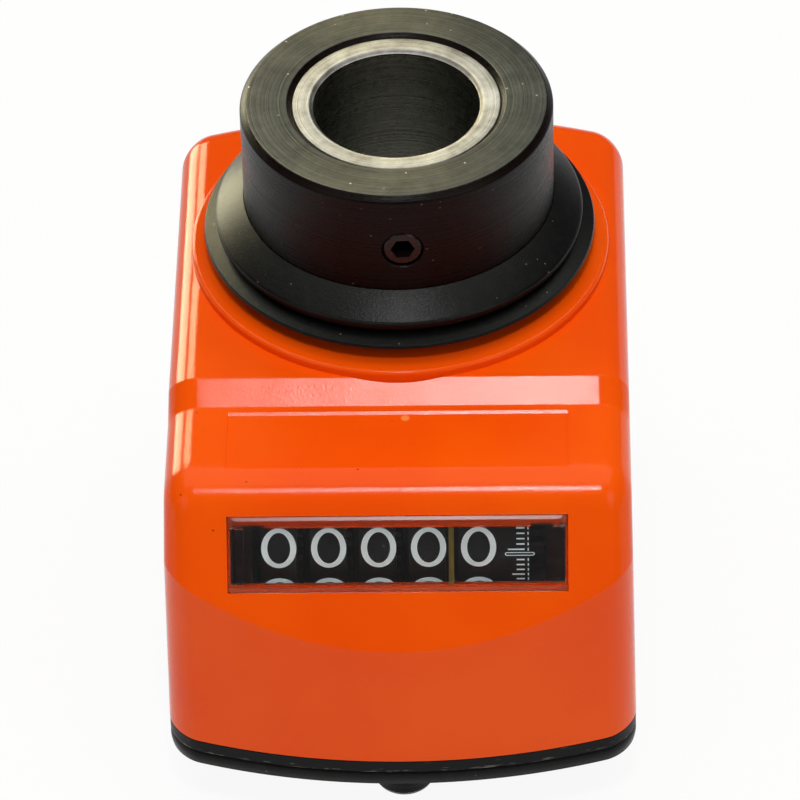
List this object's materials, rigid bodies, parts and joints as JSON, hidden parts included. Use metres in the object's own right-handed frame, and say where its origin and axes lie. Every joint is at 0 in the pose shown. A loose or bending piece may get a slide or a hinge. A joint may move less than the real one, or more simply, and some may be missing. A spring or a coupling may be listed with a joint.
{
  "type": "mechanical position indicator",
  "caption": "Hollow-shaft position indicator: moulded housing with a digit-wheel counter behind a sloping window, driven by a clamped shaft sleeve and kept from turning by a rear pin.",
  "frame": {"origin": "on the shaft's axis, on the rear mounting face", "axes": "+Z along the shaft, away from the mounting face; the window faces -Y; +X is to the reader's right"},
  "size_m": [0.045, 0.0634, 0.0571],
  "materials": {
    "orange_plastic": "glossy, moulded",
    "black_plastic": "satin, moulded",
    "black_rubber": "satin",
    "clear_plastic": "clear acrylic, polished",
    "yellow_plastic": "satin",
    "black_steel": "blackened",
    "zinc_steel": "plated",
    "burnished_steel": "burnished, oiled",
    "bare_steel": "turned",
    "cream_plastic": "moulded",
    "grey_plastic": "moulded",
    "wheel_plastic": "satin, printed white figures"
  },
  "bodies": {
    "housing": {"housing": "orange_plastic", "back_cover": "black_plastic", "rear_gasket": "black_rubber", "window_lens": "clear_plastic", "decimal_bar": "yellow_plastic", "locating_pin": "black_steel", "cover_screws": "zinc_steel", "thrust_washer": "cream_plastic", "wheel_axle": "zinc_steel", "pinion_axle": "zinc_steel", "counter_frame": "grey_plastic", "frame_screws": "zinc_steel"},
    "shaft": {"hollow_shaft": "burnished_steel", "reducing_sleeve": "bare_steel", "set_screw": "black_steel", "shaft_seal": "black_rubber", "retaining_ring": "black_steel", "shaft_gear": "cream_plastic"},
    "cross_drive": {"cross_shaft": "zinc_steel", "screw_pinion": "cream_plastic", "cross_gear": "cream_plastic"},
    "units_wheel": {"units_wheel": "wheel_plastic"},
    "tens_wheel": {"tens_wheel": "wheel_plastic"},
    "hundreds_wheel": {"hundreds_wheel": "wheel_plastic"},
    "thousands_wheel": {"thousands_wheel": "wheel_plastic"},
    "ten_thousands_wheel": {"ten_thousands_wheel": "wheel_plastic"},
    "carry_pinion_4": {"carry_pinion_4": "cream_plastic"},
    "carry_pinion_3": {"carry_pinion_3": "cream_plastic"},
    "carry_pinion_2": {"carry_pinion_2": "cream_plastic"},
    "carry_pinion_1": {"carry_pinion_1": "cream_plastic"}
  },
  "joints": [
    {"name": "shaft_turn", "type": "hinge", "parent": "housing", "child": "shaft", "pos_m": [0, 0, 0], "axis": [0, 0, 1], "continuous": true},
    {"name": "cross_turn", "type": "hinge", "parent": "housing", "child": "cross_drive", "pos_m": [0, -0.01664, 0.0115], "axis": [1, 0, 0], "continuous": true},
    {"name": "units_turn", "type": "hinge", "parent": "housing", "child": "units_wheel", "pos_m": [0, -0.02666, 0.01982], "axis": [1, 0, 0], "continuous": true},
    {"name": "tens_turn", "type": "hinge", "parent": "housing", "child": "tens_wheel", "pos_m": [0, -0.02666, 0.01982], "axis": [1, 0, 0], "continuous": true},
    {"name": "hundreds_turn", "type": "hinge", "parent": "housing", "child": "hundreds_wheel", "pos_m": [0, -0.02666, 0.01982], "axis": [1, 0, 0], "continuous": true},
    {"name": "thousands_turn", "type": "hinge", "parent": "housing", "child": "thousands_wheel", "pos_m": [0, -0.02666, 0.01982], "axis": [1, 0, 0], "continuous": true},
    {"name": "ten_thousands_turn", "type": "hinge", "parent": "housing", "child": "ten_thousands_wheel", "pos_m": [0, -0.02666, 0.01982], "axis": [1, 0, 0], "continuous": true},
    {"name": "carry_4_turn", "type": "hinge", "parent": "housing", "child": "carry_pinion_4", "pos_m": [0, -0.01796, 0.02198], "axis": [1, 0, 0], "continuous": true},
    {"name": "carry_3_turn", "type": "hinge", "parent": "housing", "child": "carry_pinion_3", "pos_m": [0, -0.01796, 0.02198], "axis": [1, 0, 0], "continuous": true},
    {"name": "carry_2_turn", "type": "hinge", "parent": "housing", "child": "carry_pinion_2", "pos_m": [0, -0.01796, 0.02198], "axis": [1, 0, 0], "continuous": true},
    {"name": "carry_1_turn", "type": "hinge", "parent": "housing", "child": "carry_pinion_1", "pos_m": [0, -0.01796, 0.02198], "axis": [1, 0, 0], "continuous": true}
  ],
  "couplings": [
    {"joint": "cross_turn", "follows": "shaft_turn", "ratio": -5},
    {"joint": "units_turn", "follows": "shaft_turn", "ratio": 5},
    {"joint": "tens_turn", "follows": "shaft_turn", "ratio": 0.5},
    {"joint": "hundreds_turn", "follows": "shaft_turn", "ratio": 0.05},
    {"joint": "thousands_turn", "follows": "shaft_turn", "ratio": 0.005},
    {"joint": "ten_thousands_turn", "follows": "shaft_turn", "ratio": 0.0005},
    {"joint": "carry_4_turn", "follows": "shaft_turn", "ratio": -1.25},
    {"joint": "carry_3_turn", "follows": "shaft_turn", "ratio": -0.125},
    {"joint": "carry_2_turn", "follows": "shaft_turn", "ratio": -0.0125},
    {"joint": "carry_1_turn", "follows": "shaft_turn", "ratio": -0.00125}
  ]
}
